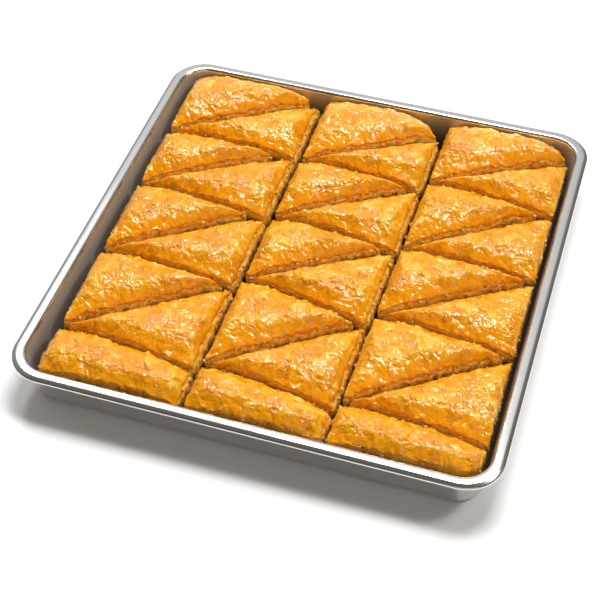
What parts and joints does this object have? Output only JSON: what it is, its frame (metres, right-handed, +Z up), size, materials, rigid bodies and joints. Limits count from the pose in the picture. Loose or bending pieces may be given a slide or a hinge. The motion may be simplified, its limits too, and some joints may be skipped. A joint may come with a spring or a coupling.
{
  "type": "tray of baklava",
  "caption": "Square rolled-rim baking tray filled with a layered nut pastry, its puffed golden crust cut into triangles and bars.",
  "frame": {"origin": "on the table, under the middle of the tray", "axes": "+Z up, +Y to the back of the tray, +X to its right"},
  "size_m": [0.3198, 0.3314, 0.0411],
  "materials": {
    "tray_metal": "satin",
    "golden_crust": "glossy"
  },
  "bodies": {
    "root": {"tray": "tray_metal", "left_triangle_1": "golden_crust", "left_triangle_2": "golden_crust", "left_triangle_3": "golden_crust", "left_triangle_4": "golden_crust", "left_triangle_5": "golden_crust", "left_triangle_6": "golden_crust", "left_triangle_7": "golden_crust", "left_triangle_8": "golden_crust", "left_bar": "golden_crust", "middle_triangle_1": "golden_crust", "middle_triangle_2": "golden_crust", "middle_triangle_3": "golden_crust", "middle_triangle_4": "golden_crust", "middle_triangle_5": "golden_crust", "middle_triangle_6": "golden_crust", "middle_triangle_7": "golden_crust", "middle_triangle_8": "golden_crust", "middle_bar": "golden_crust", "right_triangle_1": "golden_crust", "right_triangle_2": "golden_crust", "right_triangle_3": "golden_crust", "right_triangle_4": "golden_crust", "right_triangle_5": "golden_crust", "right_triangle_6": "golden_crust", "right_triangle_7": "golden_crust", "right_triangle_8": "golden_crust", "right_bar": "golden_crust"}
  },
  "joints": []
}
